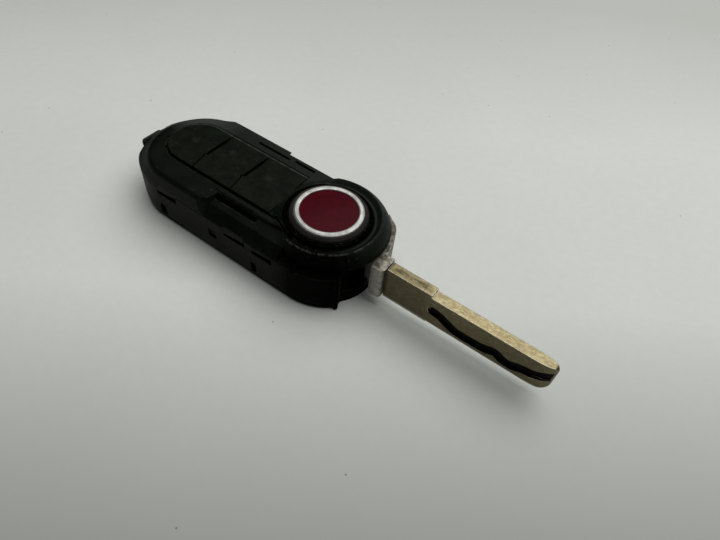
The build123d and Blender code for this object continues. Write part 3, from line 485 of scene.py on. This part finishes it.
FINISHES = [
    (shell_plastic, ["lower_housing", "upper_housing", "battery_drawer"]),
    (button_plastic, ["release_button"]),
    (silver, ["emblem_ring"]),
    (enamel(), ["emblem_enamel"]),
    (key_rubber, ["lock_key", "unlock_key", "boot_key"]),
    (lock_plastic, ["drawer_lock"]),
    (cell_can, ["coin_cell"]),
    (cast_nickel(), ["blade_head"]),
    (blade_metal(), ["key_blade"]),
    (spring_wire, ["release_spring", "flip_spring"]),
    (steel, ["release_latch", "pivot_pin", "blade_roll_pin"]),
    (board_laminate(), ["circuit_board"]),
    (chip_plastic, ["microcontroller"]),
    (switch_cover, ["radio_crystal", "lock_switch", "unlock_switch", "boot_switch"]),
    (copper, ["transponder_coil"]),
    (terminal_strip, ["battery_terminal_minus", "battery_terminal_plus"]),
]
for finish, names in FINISHES:
    for name in names:
        mesh = nodes[name].data
        mesh.materials.clear()
        mesh.materials.append(finish)


# Small repeated pieces, each grown by a node tree and kept as one plain mesh

class Growth:
    """A geometry node tree with named inputs, and short calls for its nodes."""

    def __init__(self, name, **inputs):
        self.name = name
        self.tree = bpy.data.node_groups.new(name, "GeometryNodeTree")
        self.tree.interface.new_socket("Geometry", in_out="OUTPUT", socket_type="NodeSocketGeometry")
        self.values = inputs
        for label, value in inputs.items():
            kind = "Int" if isinstance(value, int) else "Vector" if isinstance(value, tuple) else "Float"
            made = self.tree.interface.new_socket(label, in_out="INPUT", socket_type="NodeSocket" + kind)
            made.default_value = value
        self.given = self.tree.nodes.new("NodeGroupInput").outputs

    def node(self, kind, settings=None, **inputs):
        made = self.tree.nodes.new(kind)
        for name, value in (settings or {}).items():
            setattr(made, name, value)
        for name, value in inputs.items():
            socket = made.inputs[name.replace("_", " ")]
            if isinstance(value, bpy.types.NodeSocket):
                self.tree.links.new(value, socket)
            else:
                socket.default_value = value
        return made.outputs[0]

    def scaled(self, value, factor):
        made = self.node("ShaderNodeMath", {"operation": "MULTIPLY"}, Value=value)
        made.node.inputs[1].default_value = factor
        return made

    def vector(self, x=0.0, y=0.0, z=0.0):
        return self.node("ShaderNodeCombineXYZ", X=x, Y=y, Z=z)

    def moved(self, shape, shift):
        return self.node("GeometryNodeTransform", Geometry=shape, Translation=shift)

    def block(self, size, middle):
        return self.moved(self.node("GeometryNodeMeshCube", Size=size), middle)

    def tube(self, path, radius, around=8):
        """A round tube along a curve."""
        ring = self.node("GeometryNodeCurvePrimitiveCircle", Resolution=around, Radius=radius)
        return self.node("GeometryNodeCurveToMesh", Curve=path, Profile_Curve=ring)

    def row(self, count, start, step):
        """Points from start, one step apart."""
        return self.node("GeometryNodeMeshLine", {"mode": "OFFSET"}, Count=count,
                         Start_Location=start, Offset=step)

    def at_points(self, points, instance, **inputs):
        return self.node("GeometryNodeInstanceOnPoints", Points=points, Instance=instance, **inputs)

    def join(self, *parts):
        made = self.tree.nodes.new("GeometryNodeJoinGeometry")
        for part in parts:
            self.tree.links.new(part, made.inputs[0])
        return made.outputs[0]

    def piece(self, shape, material, body):
        """Ends the tree, runs it once and keeps the result as a mesh that rides on a body."""
        real = self.node("GeometryNodeRealizeInstances", Geometry=shape)
        dressed = self.node("GeometryNodeSetMaterial", Geometry=real, Material=material)
        end = self.tree.nodes.new("NodeGroupOutput")
        self.tree.links.new(dressed, end.inputs[0])
        made = bpy.data.objects.new(self.name, bpy.data.meshes.new(self.name))
        bpy.context.collection.objects.link(made)
        modifier = made.modifiers.new(self.name, "NODES")
        modifier.node_group = self.tree
        for item in self.tree.interface.items_tree:
            if item.in_out == "INPUT":
                modifier[item.identifier] = self.values[item.name]
        depsgraph = bpy.context.evaluated_depsgraph_get()
        mesh = bpy.data.meshes.new_from_object(made.evaluated_get(depsgraph), depsgraph=depsgraph)
        made.modifiers.remove(modifier)
        made.data = mesh
        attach(made, body)
        return made


def coil_turns():
    """The turns of copper wire on the transponder's ferrite rod."""
    low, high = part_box("transponder_coil")
    turns = 34
    wound_share = 0.72
    length = wound_share * (high[0] - low[0])
    start = ((low[0] + high[0] - length) / 2, (low[1] + high[1]) / 2, low[2] + COIL_RADIUS)
    g = Growth("coil_turns", turns=turns, wire=0.075 * MM, radius=COIL_RADIUS, start=start,
               step=(length / (turns - 1), 0.0, 0.0))
    loop = g.node("GeometryNodeCurvePrimitiveCircle", Resolution=28, Radius=g.given["radius"])
    ring = g.tube(loop, g.given["wire"], around=6)
    row = g.row(g.given["turns"], g.given["start"], g.given["step"])
    g.piece(g.at_points(row, ring, Rotation=(0.0, math.pi / 2, 0.0)), copper, "housing")


def release_coil():
    """The spring under the release button."""
    low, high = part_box("release_spring")
    wire = 0.175 * MM
    g = Growth("release_coil", turns=5.0, wire=wire, radius=(high[0] - low[0]) / 2 - wire,
               height=high[2] - low[2] - 2 * wire, foot=(0.0, 0.0, low[2] + wire))
    radius = g.given["radius"]
    path = g.node("GeometryNodeCurveSpiral", Resolution=36, Rotations=g.given["turns"],
                  Start_Radius=radius, End_Radius=radius, Height=g.given["height"])
    coil = g.moved(g.tube(path, g.given["wire"]), g.given["foot"])
    made = g.piece(coil, spring_wire, "housing")
    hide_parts("release_spring")
    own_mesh(made)


def chip_legs():
    """Bent tinned legs on both sides of the microcontroller."""
    low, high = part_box("microcontroller")
    legs = 7
    pitch = 0.65 * MM
    thickness = 0.14 * MM
    foot_z = -0.08 * MM
    shin_at = 0.35
    first = (low[0] + high[0]) / 2 - pitch * (legs - 1) / 2
    g = Growth("chip_legs", legs=legs, pitch=(pitch, 0.0, 0.0), width=0.3 * MM, reach=0.7 * MM,
               drop=(high[2] - low[2]) / 2, near=(first, low[1], high[2]),
               far=(first, high[1], high[2]))
    width, reach, drop = g.given["width"], g.given["reach"], g.given["drop"]
    sides = []
    for side, outward in (("near", -1.0), ("far", 1.0)):
        out = g.scaled(reach, outward)
        foot = g.block(g.vector(width, reach, thickness), g.vector(y=out, z=foot_z))
        shin = g.block(g.vector(width, thickness, drop),
                       g.vector(y=g.scaled(out, shin_at), z=g.scaled(drop, -0.5)))
        row = g.row(g.given["legs"], g.given[side], g.given["pitch"])
        sides.append(g.at_points(row, g.join(foot, shin)))
    g.piece(g.join(*sides), steel, "housing")


def place_mesh(name, points, faces, material):
    """An object in the scene from a list of points and faces."""
    mesh = bpy.data.meshes.new(name)
    mesh.from_pydata(points, [], faces)
    mesh.materials.append(material)
    made = bpy.data.objects.new(name, mesh)
    bpy.context.collection.objects.link(made)
    return made


def pad_rim():
    """A low rounded bead on the deck along the far side of the key pad and round its tail."""
    gap = 0.42 * MM
    reach = PAD_HALF_WIDTH + gap
    # The bead's section in millimetres, out from its middle and up from the deck
    profile = [(-0.28, -0.1), (0.28, -0.1), (0.28, 0.05), (0.18, 0.2), (0.0, 0.26), (-0.18, 0.2),
               (-0.28, 0.05)]
    straight_steps = 12
    tail_steps = 24
    tail_step = math.radians(5.0)
    step_x = (PAD_TAIL_X - PAD_END_X) / straight_steps
    path = [(PAD_END_X + step_x * i, math.pi / 2) for i in range(straight_steps)]
    path += [(PAD_TAIL_X, math.pi / 2 + tail_step * i) for i in range(tail_steps)]
    points = []
    for x, angle in path:
        for out, up in profile:
            far = reach + out * MM
            points.append((x + far * math.cos(angle), far * math.sin(angle), DECK_Z + up * MM))
    around = len(profile)
    faces = [tuple(range(around)), tuple(reversed(range(len(points) - around, len(points))))]
    for start in range(0, len(points) - around, around):
        for side in range(around):
            after = (side + 1) % around
            faces.append((start + side, start + around + side, start + around + after, start + after))
    made = place_mesh("pad_rim", points, faces, shell_plastic)
    made.data.polygons.foreach_set("use_smooth", [len(face) == 4 for face in faces])
    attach(made, "housing")


# Table, light and camera

def paper():
    """The off-white sheet that the remote lies on."""
    s = Shader("off_white_paper")
    clouds = s.ramp(s.noise(9.0, 3.0), 0.3, 0.7)
    colour = s.mix(clouds, rgb(0.75, 0.77, 0.72), rgb(0.8, 0.82, 0.78))
    # Towards the viewer's side and far behind, the sheet lies in weaker light
    outward = s.plus(s.times(s.across("X"), 0.56), s.times(s.across("Y"), -0.83))
    nearer = s.ramp(outward, 10.0 * MM, 66.0 * MM, 0.0, 0.68)
    colour = s.mix(nearer, colour, rgb(0.22, 0.23, 0.21))
    farther = s.ramp(outward, -150.0 * MM, -55.0 * MM, 0.5, 0.0)
    colour = s.mix(farther, colour, rgb(0.4, 0.405, 0.37))
    fibres = s.ramp(s.noise(420.0, 5.0, 0.7), 0.4, 0.6, 0.0, 0.05)
    colour = s.mix(fibres, colour, rgb(0.4, 0.41, 0.39))
    dust = s.times(s.specks(60.0, 0.011, 0.16, "2D"), 0.8)
    colour = s.mix(dust, colour, rgb(0.16, 0.13, 0.11))
    return s.finish(Base_Color=colour, Roughness=0.8, Specular_IOR_Level=0.2)


def floor():
    half = 1.5
    corners = [(-half, -half, 0.0), (half, -half, 0.0), (half, half, 0.0), (-half, half, 0.0)]
    place_mesh("paper_floor", corners, [(0, 1, 2, 3)], paper())


def surroundings():
    """A dim, slightly green room."""
    world = bpy.data.worlds.new("room")
    bpy.context.scene.world = world
    world.use_nodes = True
    background = world.node_tree.nodes["Background"]
    background.inputs["Color"].default_value = rgb(0.95, 1.0, 0.97)
    background.inputs["Strength"].default_value = 0.045


def window_light():
    """One large soft lamp, behind and above the remote."""
    light = bpy.data.lights.new("window_light", "AREA")
    light.shape = "DISK"
    light.size = 1.05
    light.energy = 6.1
    made = bpy.data.objects.new("window_light", light)
    made.location = (0.07, 0.25, 0.7)
    made.rotation_euler = (-made.location).to_track_quat("-Z", "Y").to_euler()
    bpy.context.collection.objects.link(made)


def camera():
    """The camera at the photo's place, as fitted to the outlines in it."""
    right = Vector((0.81231, 0.57689, 0.08572))
    up = Vector((-0.49215, 0.59916, 0.6315))
    back = Vector((0.31294, -0.55516, 0.77062))
    place = Vector((50.698, -72.663, 105.167)) * MM
    data = bpy.data.cameras.new("camera")
    data.lens = 28.0
    data.sensor_width = 36.0
    data.clip_start = 0.005
    made = bpy.data.objects.new("camera", data)
    made.matrix_world = Matrix.Translation(place) @ Matrix((right, up, back)).transposed().to_4x4()
    bpy.context.collection.objects.link(made)
    bpy.context.scene.camera = made


coil_turns()
release_coil()
pad_rim()
chip_legs()
floor()
surroundings()
window_light()
camera()
bpy.context.scene.view_settings.view_transform = "Standard"
